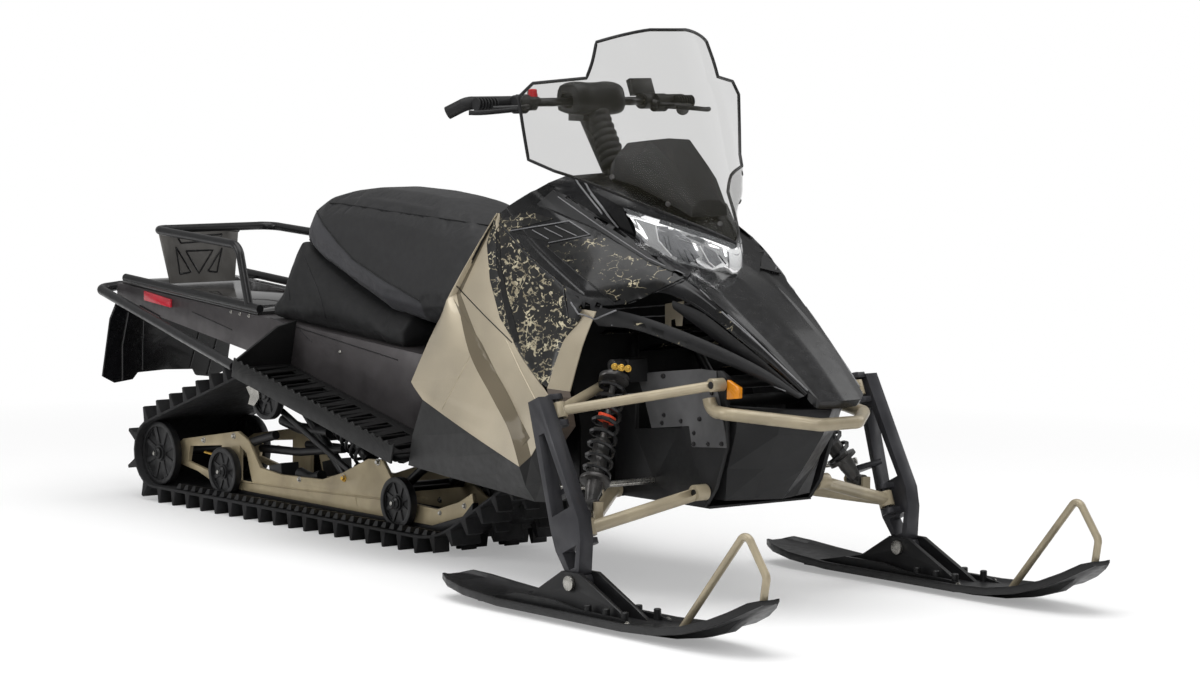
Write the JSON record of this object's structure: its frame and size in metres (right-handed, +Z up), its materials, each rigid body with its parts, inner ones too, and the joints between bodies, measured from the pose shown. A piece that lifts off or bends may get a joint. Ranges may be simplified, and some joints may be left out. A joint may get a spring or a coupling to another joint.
{
  "type": "snowmobile",
  "caption": "Utility snowmobile with a long lugged track under a tunnel, steered skis on double arms, tall screen, long seat, railed cargo rack and working handlebar steering.",
  "frame": {"origin": "on the floor, below the middle of the overall length and width", "axes": "+X forward to the ski tips, +Y to the rider's left, +Z up"},
  "size_m": [3.4202, 1.252, 1.42],
  "materials": {
    "dark_sheet": "textured dark grey powder coat",
    "black_tube": "satin black powder coat",
    "black_plastic": "grained black",
    "gloss_black": "gloss black with tan blotches",
    "grey_plastic": "grained dark grey",
    "tan_panel": "metallic champagne",
    "tan_tube": "satin champagne powder coat",
    "red_lens": "red lens",
    "amber_lens": "amber lens",
    "lamp_lens": "clear lens over bright reflectors",
    "screen": "light smoke polycarbonate",
    "seat_cover": "stitched vinyl",
    "track_rubber": "moulded rubber",
    "grip_rubber": "moulded rubber",
    "steel": "zinc plated",
    "spring_steel": "black coated wire",
    "casting": "dark grey casting"
  },
  "bodies": {
    "chassis": {"tunnel": "dark_sheet", "running_boards": "dark_sheet", "rear_bumper": "black_tube", "snow_flap": "black_plastic", "rack_deck": "dark_sheet", "rack_rails": "black_tube", "rack_board": "black_plastic", "tail_lamps": "red_lens", "seat_cushion": "seat_cover", "seat_base": "black_plastic", "track": "track_rubber", "skid_rails": "tan_tube", "skid_slides": "black_plastic", "rear_idlers": "black_plastic", "bogie_wheels": "black_plastic", "carrier_wheels": "black_plastic", "skid_arms": "dark_sheet", "skid_shocks": "steel", "drive_axle": "dark_sheet", "engine": "dark_sheet", "bulkhead": "dark_sheet", "belly_pan": "grey_plastic", "side_panels": "tan_panel", "side_inserts": "gloss_black", "shoulder_panels": "gloss_black", "side_blades": "gloss_black", "nose": "gloss_black", "nose_pan": "black_plastic", "headlamp": "lamp_lens", "cowl": "black_plastic", "console": "black_plastic", "instrument_pod": "black_plastic", "windshield": "screen", "front_bumper": "tan_tube", "marker_lamps": "amber_lens", "upper_arms": "tan_tube", "lower_arms": "tan_tube", "ski_shocks": "steel", "shock_springs": "spring_steel", "steering_support": "dark_sheet"},
    "handlebar_assembly": {"handlebar": "black_tube", "grips": "grip_rubber", "bar_pad": "black_plastic", "bar_controls": "black_plastic"},
    "steering_link_assembly": {"steering_link": "steel"},
    "right_ski_assembly": {"spindle_right": "casting", "ski_right": "black_plastic", "ski_bolts_right": "steel", "ski_loop_right": "tan_tube"},
    "left_ski_assembly": {"spindle_left": "casting", "ski_left": "black_plastic", "ski_bolts_left": "steel", "ski_loop_left": "tan_tube"}
  },
  "joints": [
    {"name": "handlebar_steer", "type": "hinge", "parent": "chassis", "child": "handlebar_assembly", "pos_m": [0.344, 0, 1.185], "axis": [-0.5879, 0, 0.8089], "range_deg": [-35, 35]},
    {"name": "right_ski_steer", "type": "hinge", "parent": "chassis", "child": "right_ski_assembly", "pos_m": [0.985, -0.49, 0.215], "axis": [-0.3907, 0, 0.9205], "range_deg": [-28, 28]},
    {"name": "left_ski_steer", "type": "hinge", "parent": "chassis", "child": "left_ski_assembly", "pos_m": [0.985, 0.49, 0.215], "axis": [-0.3907, 0, 0.9205], "range_deg": [-28, 28]},
    {"name": "steering_link_slide", "type": "slide", "parent": "chassis", "child": "steering_link_assembly", "axis": [0, 1, 0], "range_m": [-0.044, 0.044]}
  ],
  "couplings": [
    {"joint": "right_ski_steer", "follows": "handlebar_steer", "ratio": 0.8},
    {"joint": "left_ski_steer", "follows": "handlebar_steer", "ratio": 0.8},
    {"joint": "steering_link_slide", "follows": "handlebar_steer", "m_per_rad": -0.072}
  ]
}
